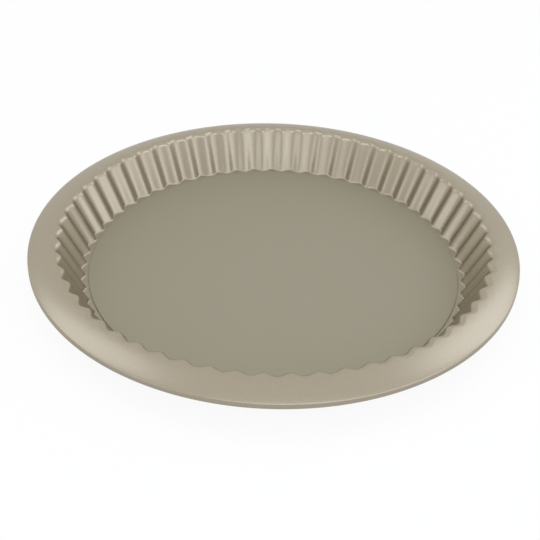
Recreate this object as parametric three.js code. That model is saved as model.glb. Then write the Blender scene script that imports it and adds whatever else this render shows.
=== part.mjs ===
// Fluted tart tin: a pressed sheet-metal ring with a fluted wall, and a loose base that lifts out of it.
// Millimetres, +Z up. The origin is on the table, under the middle of the tin.

import * as THREE from "three";

// Sheet and overall size
const SHEET = 0.7;
const TIN_HEIGHT = 27.3;
const RIM_RADIUS = 150;

// Rim: slightly crowned, from the bend of the crest down to the lip that is turned down round its edge
const RIM_WIDTH = 17.8;
const CREST_BEND = 4;
const RIM_BEND = 45;
const RIM_DROP = 6.5;
const LIP_BEND = 0.9;
const LIP_DEPTH = 2.4;

// Wall: how far its ridges lean out from foot to crest, and the bend where the ledge turns up into it
const WALL_RUN = 16.65;
const FOOT_BEND = 1.4;

// Flutes: round waves from ridges out to hollows. At the crest they are shallower, with broader hollows
const FLUTES = 58;
const FOOT_DEPTH = 3.5;
const CREST_DEPTH = 2.3;
const CREST_BROADENING = 0.65;
const FLUTE_PHASE = -0.0248;

// Loose base and the ledge that carries it
const BASE_THICKNESS = 0.8;
const BASE_CLEARANCE = 0.5;
const BASE_EDGE_ROUND = 0.25;
const LEDGE_LAP = 8;

// Steps round one flute, round the same arc where the sheet is plain, and along the bends of the profile
const STEPS_PER_FLUTE = 6;
const PLAIN_STEPS_PER_FLUTE = 2;
const FOOT_STEPS = 2;
const CREST_STEPS = 3;
const RIM_STEPS = 2;
const LIP_STEPS = 2;

// The crest and the foot of the wall on the ridges of its flutes
const CREST_RADIUS = RIM_RADIUS - RIM_WIDTH;
const FOOT_RADIUS = CREST_RADIUS - WALL_RUN;
const BASE_RADIUS = FOOT_RADIUS - BASE_CLEARANCE;
const LEDGE_RADIUS = BASE_RADIUS - LEDGE_LAP;

// Champagne non-stick coating
const RING_COLOUR = 0xb5ab97;
const BASE_COLOUR = 0x9b947f;

// Evenly spaced numbers from one value to another, both included
function spread(from, to, steps) {
  return Array.from({ length: steps + 1 }, (_, i) => from + ((to - from) * i) / steps);
}

// The rim's crown: the arc that lies over the ridges' crest bend and the lip's bend and touches both
function rimArc(lip) {
  const crest = new THREE.Vector2(CREST_RADIUS, TIN_HEIGHT - CREST_BEND);
  const toCrest = RIM_BEND - CREST_BEND;
  const toLip = RIM_BEND - LIP_BEND;
  const apart = crest.distanceTo(lip);
  const run = lip.clone().sub(crest).normalize();
  const along = (apart ** 2 + toCrest ** 2 - toLip ** 2) / (2 * apart);
  const below = Math.sqrt(toCrest ** 2 - along ** 2);
  const centre = crest.clone().addScaledVector(run, along);
  centre.add(new THREE.Vector2(run.y, -run.x).multiplyScalar(below));
  return { centre, end: Math.atan2(lip.x - centre.x, lip.y - centre.y) };
}

// Slope at which the crest's bend runs into the rim, where the flute sets its centre out by this much
function crestEnd(out, rim) {
  return Math.asin((CREST_RADIUS + out - rim.centre.x) / (RIM_BEND - CREST_BEND));
}

// Slope of the straight wall that touches the foot's bend and the crest's bend, by the centres of the two
function wallSlope(foot, crest) {
  const run = crest.clone().sub(foot);
  return run.angle() + Math.asin((CREST_BEND + FOOT_BEND) / run.length());
}

// Point of an arc that bulges upwards, by the slope there: negative where it still climbs outwards
function arcPoint(centre, bend, slope) {
  return new THREE.Vector2(centre.x + bend * Math.sin(slope), centre.y + bend * Math.cos(slope));
}

// Upper face of the sheet from ledge to lip, at this share of the way from a ridge into a hollow
function upperProfile(share) {
  const lipCentre = new THREE.Vector2(RIM_RADIUS - LIP_BEND, TIN_HEIGHT - RIM_DROP);
  const rim = rimArc(lipCentre);
  const end = crestEnd(CREST_DEPTH * share ** CREST_BROADENING, rim);
  const crestCentre = arcPoint(rim.centre, RIM_BEND - CREST_BEND, end);
  const footCentre = new THREE.Vector2(FOOT_RADIUS + FOOT_DEPTH * share, SHEET + FOOT_BEND);
  const slope = wallSlope(footCentre, crestCentre);

  const ledge = [new THREE.Vector2(LEDGE_RADIUS, SHEET)];
  const foot = spread(0, slope, FOOT_STEPS).map((a) => arcPoint(footCentre, -FOOT_BEND, -a));
  const crest = spread(-slope, end, CREST_STEPS).map((a) => arcPoint(crestCentre, CREST_BEND, a));
  const clearOfFlutes = crestEnd(CREST_DEPTH, rim);
  const crown = spread(clearOfFlutes, rim.end, RIM_STEPS).map((a) => arcPoint(rim.centre, RIM_BEND, a));
  const fold = spread(rim.end, Math.PI / 2, LIP_STEPS).map((a) => arcPoint(lipCentre, LIP_BEND, a));
  const lip = [new THREE.Vector2(RIM_RADIUS, lipCentre.y - LIP_DEPTH)];
  return [...ledge, ...foot, ...crest, ...crown.slice(1), ...fold.slice(1), ...lip];
}

// Lower face of the sheet: the upper face set down square by the sheet's thickness, with mitred corners
function lowerProfile(upper) {
  const normals = upper.slice(1).map((p, i) => {
    const run = p.clone().sub(upper[i]).normalize();
    return new THREE.Vector2(run.y, -run.x);
  });
  return upper.map((p, i) => {
    const before = normals[Math.max(i - 1, 0)];
    const after = normals[Math.min(i, normals.length - 1)];
    const mitre = before.clone().add(after).normalize();
    return p.clone().addScaledVector(mitre, SHEET / mitre.dot(before));
  });
}

// The whole outline of the section at this angle, by where it falls between a ridge and a hollow
function sectionOutline(angle) {
  const turn = FLUTES * (angle + Math.PI / 2 - FLUTE_PHASE);
  const upper = upperProfile((1 - Math.cos(turn)) / 2);
  return [...upper, ...lowerProfile(upper).reverse()];
}

// One ring of points round the tin at the same place on every section: close-set where the flutes move it
function ringOfPoints(place, fluted) {
  const steps = FLUTES * (fluted ? STEPS_PER_FLUTE : PLAIN_STEPS_PER_FLUTE);
  const start = FLUTE_PHASE - Math.PI / 2;
  return spread(start, start + 2 * Math.PI, steps).slice(0, -1).map((angle) => {
    const { x, y } = sectionOutline(angle)[place];
    return [x * Math.cos(angle), x * Math.sin(angle), y];
  });
}

// Triangles between two neighbouring rings, which may have different numbers of points
function joinRings(a, b, firstA, firstB, triangles) {
  let i = 0;
  let j = 0;
  while (i < a.length || j < b.length) {
    const atA = firstA + (i % a.length);
    const atB = firstB + (j % b.length);
    if (j === b.length || (i < a.length && (i + 1) / a.length <= (j + 1) / b.length)) {
      triangles.push(atA, atB, firstA + ((i + 1) % a.length));
      i += 1;
    } else {
      triangles.push(atA, atB, firstB + ((j + 1) % b.length));
      j += 1;
    }
  }
}

// The ring: its section's outline carried round the tin and closed on itself
function flutedRingGeometry() {
  const onRidge = upperProfile(0);
  const inHollow = upperProfile(1);
  const moved = onRidge.map((p, place) => p.distanceTo(inHollow[place]) > 0);
  const rings = [...moved, ...moved.toReversed()].map((fluted, place) => ringOfPoints(place, fluted));
  const firsts = rings.map((_, k) => rings.slice(0, k).reduce((sum, ring) => sum + ring.length, 0));
  const triangles = [];
  rings.forEach((ring, k) => {
    const next = (k + 1) % rings.length;
    joinRings(ring, rings[next], firsts[k], firsts[next], triangles);
  });
  const geometry = new THREE.BufferGeometry();
  geometry.setAttribute("position", new THREE.Float32BufferAttribute(rings.flat(2), 3));
  geometry.setIndex(triangles);
  geometry.computeVertexNormals();
  return geometry;
}

// The loose base: a flat disc with its edge eased, turned about the tin's axis
function looseBaseGeometry() {
  const flat = BASE_RADIUS - BASE_EDGE_ROUND;
  const outline = [
    new THREE.Vector2(0, 0),
    new THREE.Vector2(flat, 0),
    new THREE.Vector2(BASE_RADIUS, BASE_EDGE_ROUND),
    new THREE.Vector2(BASE_RADIUS, BASE_THICKNESS - BASE_EDGE_ROUND),
    new THREE.Vector2(flat, BASE_THICKNESS),
    new THREE.Vector2(0, BASE_THICKNESS),
  ];
  return new THREE.LatheGeometry(outline, FLUTES * PLAIN_STEPS_PER_FLUTE).rotateX(Math.PI / 2);
}

function piece(name, geometry, colour) {
  const coating = new THREE.MeshStandardMaterial({ color: colour, roughness: 0.42, metalness: 0.7 });
  const mesh = new THREE.Mesh(geometry, coating);
  mesh.name = name;
  return mesh;
}

const tin = new THREE.Group();
tin.add(piece("fluted_ring", flutedRingGeometry(), RING_COLOUR));

const base = piece("loose_base", looseBaseGeometry(), BASE_COLOUR);
base.position.z = SHEET;
tin.add(base);

export default tin;
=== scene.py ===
import math

import bpy
from mathutils import Matrix, Vector


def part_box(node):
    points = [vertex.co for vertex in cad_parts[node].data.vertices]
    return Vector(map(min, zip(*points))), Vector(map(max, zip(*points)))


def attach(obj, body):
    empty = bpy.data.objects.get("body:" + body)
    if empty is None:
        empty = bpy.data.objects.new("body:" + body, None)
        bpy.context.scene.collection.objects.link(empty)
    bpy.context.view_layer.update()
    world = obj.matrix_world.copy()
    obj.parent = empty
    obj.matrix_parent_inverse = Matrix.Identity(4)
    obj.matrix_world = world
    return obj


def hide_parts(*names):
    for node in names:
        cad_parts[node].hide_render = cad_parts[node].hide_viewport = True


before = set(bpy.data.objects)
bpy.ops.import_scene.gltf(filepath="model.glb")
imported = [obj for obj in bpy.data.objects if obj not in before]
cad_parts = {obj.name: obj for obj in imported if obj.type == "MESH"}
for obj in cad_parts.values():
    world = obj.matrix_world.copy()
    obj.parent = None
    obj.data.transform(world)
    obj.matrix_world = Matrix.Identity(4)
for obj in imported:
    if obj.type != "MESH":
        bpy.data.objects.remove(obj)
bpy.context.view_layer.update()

MM = 0.001
_, ring_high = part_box("fluted_ring")
base_low, base_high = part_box("loose_base")

# Sizes read from the frame
RIM_RADIUS = ring_high.x
TIN_HEIGHT = ring_high.z
BASE_RADIUS = base_high.x
BASE_BOTTOM = base_low.z
BASE_THICKNESS = base_high.z - base_low.z

# Sheet, and the section of the ring from its ledge to its lip, over the ridges of its flutes
SHEET = 0.7 * MM
LEDGE_LAP = 8 * MM
RIM_WIDTH = 16.5 * MM
RIM_BEND = 45 * MM
RIM_DROP = 6.5 * MM
LIP_BEND = 0.9 * MM
LIP_DEPTH = 2.4 * MM
CREST_BEND = 4.5 * MM
WALL_RUN = 17.35 * MM
FOOT_BEND = 1.4 * MM
CREST_RADIUS = RIM_RADIUS - RIM_WIDTH
FOOT_RADIUS = CREST_RADIUS - WALL_RUN

# Flutes: even round waves from ridges out to hollows, a little shallower and with broader hollows at the crest.
# The first ridge lies this far round from the front, in radians
FLUTES = 58
FOOT_DEPTH = 2.8 * MM
CREST_DEPTH = 2.35 * MM
CREST_BROADENING = 0.8
FLUTE_PHASE = -0.0248
FLUTE_TURN = 2 * math.pi / FLUTES
STEPS_PER_FLUTE = 16

# Rows of faces along each stretch of the section, and the narrow one that keeps the ledge flat up to the foot
LEDGE_EDGE = 0.4 * MM
FOOT_ROWS = 7
WALL_ROWS = 6
CREST_ROWS = 18
RIM_ROWS = 9
LIP_BEND_ROWS = 5
LIP_ROWS = 2
MERGE_WITHIN = 0.001 * MM

# Loose base
BASE_SIDES = 290
BASE_EDGE_ROUND = 0.38 * MM
BASE_EDGE_SEGMENTS = 3
ROUND_CORNERS_OVER = math.radians(60)

# Corners up to this angle are shaded smooth
SMOOTH_UP_TO = math.radians(35)

# Champagne non-stick coating, where it is matt and where it is satin: its shades over the flake, how metallic it
# looks, and how rough it is over the film's drift. On the ring, matt turns into satin round the ledge's upper face
MATT_SHADES = ("#98917C", "#9C9580")
SATIN_SHADES = ("#9C9380", "#AAA08D")
SPECULAR_TINT = "#F2EFE8"
MATT_METALLIC = 0.2
SATIN_METALLIC = 0.8
MATT_ROUGHNESS = (0.62, 0.68)
SATIN_ROUGHNESS = (0.28, 0.33)
SATIN_FROM = SHEET - 0.2 * MM
SATIN_WITHIN = 0.5 * MM

# Flake, drawn coarser than the real pigment so that it shows in the render, and the slow drift of the sprayed film
FLAKE_SIZE = 1 * MM
FLAKE_DETAIL = 3
FLAKE_ROUGHNESS = 0.7
GRAIN_STRENGTH = 0.12
GRAIN_DEPTH = 0.05 * MM
FILM_DRIFT = 40 * MM
FILM_DETAIL = 1

# Camera of the photograph: its place from the tin's origin, and where its axis meets the picture
IMAGE_SIZE = 540
CAMERA_DISTANCE = 705 * MM
CAMERA_ELEVATION = math.radians(35.6)
CAMERA_ROLL = math.radians(1.99)
CAMERA_NEAR = 10 * MM
SENSOR_WIDTH_MM = 36
FOCAL_PIXELS = 1121
AXIS_PIXEL = (273.0, 266.9)
MIDDLE_PIXEL = (IMAGE_SIZE - 1) / 2

# Floor, just clear of the tin's underside, and the share of plain white in what it shows to the camera and in
# reflections
FLOOR_SIZE = 12
FLOOR_CLEARANCE = 0.05 * MM
FLOOR_PAINT = "#FAFAFA"
FLOOR_LIFT = 0.93
MIRRORED_FLOOR_LIFT = 0.3

# Studio: the world as plain light, and softboxes by azimuth and elevation in degrees as seen from the tin, distance,
# width and height in metres, and watts
WHITE = "#FFFFFF"
DAYLIGHT = "#E2EAFF"
PLAIN_WORLD_LEVEL = 0.42
DAYLIGHT_SOFTBOXES = {
    "left softbox": (167, 46, 1.1, 0.55, 0.7, 1.42),
    "right softbox": (26, 38, 1.1, 0.62, 0.75, 2.0),
    "front softbox": (320, 27, 1.2, 1.5, 1.0, 3.0),
    "low right softbox": (332, 11, 1.2, 0.9, 0.3, 1.1),
    "low left softbox": (214, 13, 1.2, 0.9, 0.32, 1.3),
    "high front softbox": (275, 50, 1.2, 0.9, 0.4, 2.3),
}
OVERHEAD_SOFTBOX = (90, 90, 1.6, 1.2, 1.2, 7.9)


def linear(hex_colour):
    """An sRGB hex colour as linear red, green, blue and alpha."""
    channels = [int(hex_colour[i:i + 2], 16) / 255 for i in (1, 3, 5)]
    return [c / 12.92 if c <= 0.04045 else ((c + 0.055) / 1.055) ** 2.4 for c in channels] + [1]


def add_node(tree, kind, settings=None, inputs=None):
    """Adds a node, sets its properties, and fills its inputs with values or with links from other nodes."""
    node = tree.nodes.new(kind)
    for name, value in (settings or {}).items():
        setattr(node, name, value)
    for name, value in (inputs or {}).items():
        if isinstance(value, bpy.types.NodeSocket):
            tree.links.new(value, node.inputs[name])
        else:
            node.inputs[name].default_value = value
    return node


def new_tree(owner):
    """The empty node tree of a material or world."""
    owner.use_nodes = True
    owner.node_tree.nodes.clear()
    return owner.node_tree


def champagne_coating(name, satin_from=None):
    """Champagne non-stick coating, sprayed on steel and baked: a faint fine flake in a film that is matt on flat
    sheet and satin metallic on drawn sheet, which is what lies above this height."""
    material = bpy.data.materials.new(name)
    tree = new_tree(material)
    place = add_node(tree, "ShaderNodeTexCoord").outputs["Object"]
    flake = add_node(tree, "ShaderNodeTexNoise", inputs={
        "Vector": place, "Scale": 1 / FLAKE_SIZE,
        "Detail": FLAKE_DETAIL, "Roughness": FLAKE_ROUGHNESS}).outputs["Fac"]
    film = add_node(tree, "ShaderNodeTexNoise", inputs={
        "Vector": place, "Scale": 1 / FILM_DRIFT, "Detail": FILM_DETAIL}).outputs["Fac"]

    def blend(factor, first, second):
        return add_node(tree, "ShaderNodeMix", {"data_type": "RGBA"}, {
            "Factor": factor, "A": first, "B": second}).outputs["Result"]

    def between(factor, low, high):
        return add_node(tree, "ShaderNodeMapRange", inputs={
            "Value": factor, "To Min": low, "To Max": high}).outputs["Result"]

    shade = blend(flake, *map(linear, MATT_SHADES))
    roughness = between(film, *MATT_ROUGHNESS)
    metallic = MATT_METALLIC
    if satin_from is not None:
        height = add_node(tree, "ShaderNodeSeparateXYZ", inputs={"Vector": place}).outputs["Z"]
        drawn = add_node(tree, "ShaderNodeMapRange", inputs={
            "Value": height, "From Min": satin_from, "From Max": satin_from + SATIN_WITHIN}).outputs["Result"]
        shade = blend(drawn, shade, blend(flake, *map(linear, SATIN_SHADES)))
        roughness = between(drawn, roughness, between(film, *SATIN_ROUGHNESS))
        metallic = between(drawn, MATT_METALLIC, SATIN_METALLIC)
    grain = add_node(tree, "ShaderNodeBump", inputs={
        "Height": flake, "Strength": GRAIN_STRENGTH, "Distance": GRAIN_DEPTH})
    coat = add_node(tree, "ShaderNodeBsdfPrincipled", inputs={
        "Base Color": shade, "Metallic": metallic, "Roughness": roughness,
        "Specular Tint": linear(SPECULAR_TINT), "Normal": grain.outputs["Normal"]})
    add_node(tree, "ShaderNodeOutputMaterial", inputs={"Surface": coat.outputs["BSDF"]})
    return material


def spread(first, last, count):
    """Evenly spaced values from the first to the last."""
    return [first + (last - first) * i / count for i in range(count + 1)]


def wall_slope(foot, crest):
    """Slope of the straight line that touches the foot's bend and the crest's bend, by the centres of the two."""
    across, up = crest - foot
    return math.atan2(up, across) + math.asin((CREST_BEND + FOOT_BEND) / math.hypot(across, up))


def rim_arc(lip):
    """Centre of the rim's slight crown, which touches the ridges' crest and the lip's bend, and its slope there."""
    crest = Vector((CREST_RADIUS, TIN_HEIGHT - CREST_BEND))
    to_crest, to_lip = RIM_BEND - CREST_BEND, RIM_BEND - LIP_BEND
    apart = (lip - crest).length
    along = (apart ** 2 + to_crest ** 2 - to_lip ** 2) / (2 * apart)
    run = (lip - crest).normalized()
    down = Vector((run.y, -run.x))
    centre = crest + run * along + down * math.sqrt(to_crest ** 2 - along ** 2)
    return centre, math.atan2(lip.x - centre.x, lip.y - centre.y)


def arc_point(centre, bend, slope):
    """Point of an arc that bulges upwards, by the slope there: negative where it still climbs outwards."""
    return centre + bend * Vector((math.sin(slope), math.cos(slope)))


def section_points(share):
    """Radius and height along the sheet's upper face from ledge to lip, at this share of the way into a hollow."""
    lip_centre = Vector((RIM_RADIUS - LIP_BEND, TIN_HEIGHT - RIM_DROP))
    rim_centre, rim_end = rim_arc(lip_centre)

    def crest_end(set_out):
        return math.asin((CREST_RADIUS + set_out - rim_centre.x) / (RIM_BEND - CREST_BEND))

    # The crest's bend rolls along under the rim as the flute sets the wall out, and touches both
    end = crest_end(CREST_DEPTH * share ** CREST_BROADENING)
    crest_centre = arc_point(rim_centre, RIM_BEND - CREST_BEND, end)
    foot_centre = Vector((FOOT_RADIUS + FOOT_DEPTH * share, SHEET + FOOT_BEND))
    slope = wall_slope(foot_centre, crest_centre)

    ledge = [Vector((BASE_RADIUS - LEDGE_LAP, SHEET)), Vector((foot_centre.x - LEDGE_EDGE, SHEET))]
    foot = [arc_point(foot_centre, -FOOT_BEND, -a) for a in spread(0, slope, FOOT_ROWS)]
    crest = [arc_point(crest_centre, CREST_BEND, a) for a in spread(-slope, end, CREST_ROWS)]
    wall = [foot[-1].lerp(crest[0], part) for part in spread(0, 1, WALL_ROWS)]
    rim = [arc_point(rim_centre, RIM_BEND, a) for a in spread(crest_end(CREST_DEPTH), rim_end, RIM_ROWS)]
    fold = [arc_point(lip_centre, LIP_BEND, a) for a in spread(rim_end, math.pi / 2, LIP_BEND_ROWS)]
    lip = [fold[-1] + Vector((0, -depth)) for depth in spread(0, LIP_DEPTH, LIP_ROWS)]
    return [*ledge, *foot, *wall[1:-1], *crest, *rim[1:], *fold[1:], *lip[1:]]


def draw_section(angle, share):
    """Draws the section at this angle round the tin, extruded point by point from the ledge's edge to the lip."""
    outwards = Vector((math.cos(angle), math.sin(angle), 0))
    points = [outwards * radius + Vector((0, 0, height)) for radius, height in section_points(share)]
    bpy.ops.mesh.primitive_plane_add(size=SHEET, location=points[0])
    bpy.ops.mesh.merge(type="CENTER")
    for was, now in zip(points, points[1:]):
        bpy.ops.mesh.extrude_vertices_move(TRANSFORM_OT_translate={"value": now - was})
    bpy.ops.mesh.select_all(action="DESELECT")


def apply_modifier(piece, kind, **settings):
    modifier = piece.modifiers.new(kind.title(), kind)
    for name, value in settings.items():
        setattr(modifier, name, value)
    bpy.ops.object.modifier_apply(modifier=modifier.name)


def make_fluted_ring(coating):
    """The ring: one flute, lofted through its sections from ridge to ridge, and copied round the tin."""
    bpy.ops.mesh.primitive_plane_add(size=SHEET)
    ring = bpy.context.object
    ring.name = ring.data.name = "pressed_ring"
    bpy.ops.object.mode_set(mode="EDIT")
    bpy.ops.mesh.delete(type="VERT")
    for step in spread(0, 1, STEPS_PER_FLUTE):
        draw_section(FLUTE_PHASE - math.pi / 2 + FLUTE_TURN * step, (1 - math.cos(2 * math.pi * step)) / 2)
    bpy.ops.mesh.select_all(action="SELECT")
    bpy.ops.mesh.bridge_edge_loops(type="SINGLE")

    bpy.ops.mesh.select_all(action="SELECT")
    bpy.ops.mesh.spin(steps=FLUTES - 1, angle=FLUTE_TURN * (FLUTES - 1), dupli=True,
                      center=(0, 0, 0), axis=(0, 0, 1))
    bpy.ops.mesh.select_all(action="SELECT")
    bpy.ops.mesh.remove_doubles(threshold=MERGE_WITHIN)
    bpy.ops.mesh.normals_make_consistent(inside=False)
    bpy.ops.object.mode_set(mode="OBJECT")

    # The sheet is thickened downwards, so its upper face has to face up
    highest = max(ring.data.polygons, key=lambda face: face.center.z)
    if highest.normal.z < 0:
        bpy.ops.object.mode_set(mode="EDIT")
        bpy.ops.mesh.flip_normals()
        bpy.ops.object.mode_set(mode="OBJECT")
    apply_modifier(ring, "SOLIDIFY", thickness=SHEET, offset=-1, use_even_offset=True)
    bpy.ops.object.shade_smooth_by_angle(angle=SMOOTH_UP_TO)

    ring.data.materials.append(coating)
    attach(ring, "ring")
    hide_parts("fluted_ring")


def make_loose_base(coating):
    """The loose base: a disc of thicker sheet with its cut edge eased."""
    bpy.ops.mesh.primitive_circle_add(vertices=BASE_SIDES, radius=BASE_RADIUS, fill_type="NGON",
                                      location=(0, 0, BASE_BOTTOM))
    base = bpy.context.object
    base.name = base.data.name = "base_disc"
    bpy.ops.object.transform_apply(location=True, rotation=True, scale=True)
    bpy.ops.object.mode_set(mode="EDIT")
    bpy.ops.mesh.select_all(action="SELECT")
    bpy.ops.mesh.extrude_region_move(TRANSFORM_OT_translate={"value": (0, 0, BASE_THICKNESS)})
    bpy.ops.mesh.select_all(action="SELECT")
    bpy.ops.mesh.normals_make_consistent(inside=False)
    bpy.ops.object.mode_set(mode="OBJECT")
    apply_modifier(base, "BEVEL", width=BASE_EDGE_ROUND, segments=BASE_EDGE_SEGMENTS,
                   limit_method="ANGLE", angle_limit=ROUND_CORNERS_OVER)
    bpy.ops.object.shade_smooth_by_angle(angle=SMOOTH_UP_TO)

    base.data.materials.append(coating)
    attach(base, "base")
    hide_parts("loose_base")


def make_floor():
    """A plain white floor. The white that it shows as background leaves the tin's shadow on it faint."""
    bpy.ops.mesh.primitive_plane_add(size=FLOOR_SIZE, location=(0, 0, -FLOOR_CLEARANCE))
    floor = bpy.context.object
    floor.name = "floor"
    material = bpy.data.materials.new("white studio floor")
    tree = new_tree(material)
    ray = add_node(tree, "ShaderNodeLightPath")
    mirrored = add_node(tree, "ShaderNodeMath", {"operation": "MAXIMUM"}, {
        0: ray.outputs["Is Glossy Ray"], 1: ray.outputs["Is Transmission Ray"]})
    mirrored_lift = add_node(tree, "ShaderNodeMath", {"operation": "MULTIPLY"}, {
        0: mirrored.outputs["Value"], 1: MIRRORED_FLOOR_LIFT})
    lift = add_node(tree, "ShaderNodeMath", {"operation": "MULTIPLY_ADD"}, {
        0: ray.outputs["Is Camera Ray"], 1: FLOOR_LIFT, 2: mirrored_lift.outputs["Value"]})
    paint = add_node(tree, "ShaderNodeBsdfDiffuse", inputs={"Color": linear(FLOOR_PAINT)})
    white = add_node(tree, "ShaderNodeEmission", inputs={"Color": linear(WHITE), "Strength": 1.0})
    shown = add_node(tree, "ShaderNodeMixShader", inputs={
        0: lift.outputs["Value"], 1: paint.outputs["BSDF"], 2: white.outputs["Emission"]})
    add_node(tree, "ShaderNodeOutputMaterial", inputs={"Surface": shown.outputs["Shader"]})
    floor.data.materials.append(material)


def make_world():
    """A white studio, at full strength for the camera and for reflections, and softer as plain light."""
    world = bpy.data.worlds.new("white studio")
    bpy.context.scene.world = world
    tree = new_tree(world)
    ray = add_node(tree, "ShaderNodeLightPath")
    seen = add_node(tree, "ShaderNodeMath", {"operation": "MAXIMUM"}, {
        0: ray.outputs["Is Camera Ray"], 1: ray.outputs["Is Glossy Ray"]})
    through = add_node(tree, "ShaderNodeMath", {"operation": "MAXIMUM"}, {
        0: seen.outputs["Value"], 1: ray.outputs["Is Transmission Ray"]})
    level = add_node(tree, "ShaderNodeMapRange", inputs={
        "Value": through.outputs["Value"], "To Min": PLAIN_WORLD_LEVEL, "To Max": 1.0})
    studio = add_node(tree, "ShaderNodeBackground", inputs={
        "Color": linear(WHITE), "Strength": level.outputs["Result"]})
    add_node(tree, "ShaderNodeOutputWorld", inputs={"Surface": studio.outputs["Background"]})


def make_softbox(name, azimuth, elevation, distance, width, height, watts, colour, mirrored=True):
    """A soft rectangular lamp aimed at the tin, which may be left out of reflections."""
    a, e = math.radians(azimuth), math.radians(elevation)
    away = Vector((math.cos(a) * math.cos(e), math.sin(a) * math.cos(e), math.sin(e)))
    lamp = bpy.data.lights.new(name, "AREA")
    lamp.shape = "RECTANGLE"
    lamp.size, lamp.size_y = width, height
    lamp.energy = watts
    lamp.color = linear(colour)[:3]
    box = bpy.data.objects.new(name, lamp)
    bpy.context.scene.collection.objects.link(box)
    box.location = away * distance
    box.rotation_euler = (-away).to_track_quat("-Z", "Y").to_euler()
    box.visible_glossy = mirrored


def make_camera():
    """The photograph's camera: above the front of the tin, and turned a little about its own axis."""
    back = Vector((0, -math.cos(CAMERA_ELEVATION), math.sin(CAMERA_ELEVATION)))
    level = Vector((1, 0, 0))
    upright = back.cross(level)
    right = level * math.cos(CAMERA_ROLL) + upright * math.sin(CAMERA_ROLL)
    up = upright * math.cos(CAMERA_ROLL) - level * math.sin(CAMERA_ROLL)
    lens = bpy.data.cameras.new("camera")
    lens.sensor_width = SENSOR_WIDTH_MM
    lens.lens = FOCAL_PIXELS / IMAGE_SIZE * SENSOR_WIDTH_MM
    lens.shift_x = (MIDDLE_PIXEL - AXIS_PIXEL[0]) / IMAGE_SIZE
    lens.shift_y = (AXIS_PIXEL[1] - MIDDLE_PIXEL) / IMAGE_SIZE
    lens.clip_start = CAMERA_NEAR
    camera = bpy.data.objects.new("camera", lens)
    bpy.context.scene.collection.objects.link(camera)
    turn = Matrix((right, up, back)).transposed().to_4x4()
    camera.matrix_world = Matrix.Translation(back * CAMERA_DISTANCE) @ turn
    bpy.context.scene.camera = camera


make_fluted_ring(champagne_coating("champagne non-stick coating, ring", SATIN_FROM))
make_loose_base(champagne_coating("champagne non-stick coating, base"))
make_floor()
make_world()
for softbox, settings in DAYLIGHT_SOFTBOXES.items():
    make_softbox(softbox, *settings, DAYLIGHT)
make_softbox("overhead softbox", *OVERHEAD_SOFTBOX, WHITE, mirrored=False)
make_camera()
bpy.context.scene.view_settings.view_transform = "Standard"
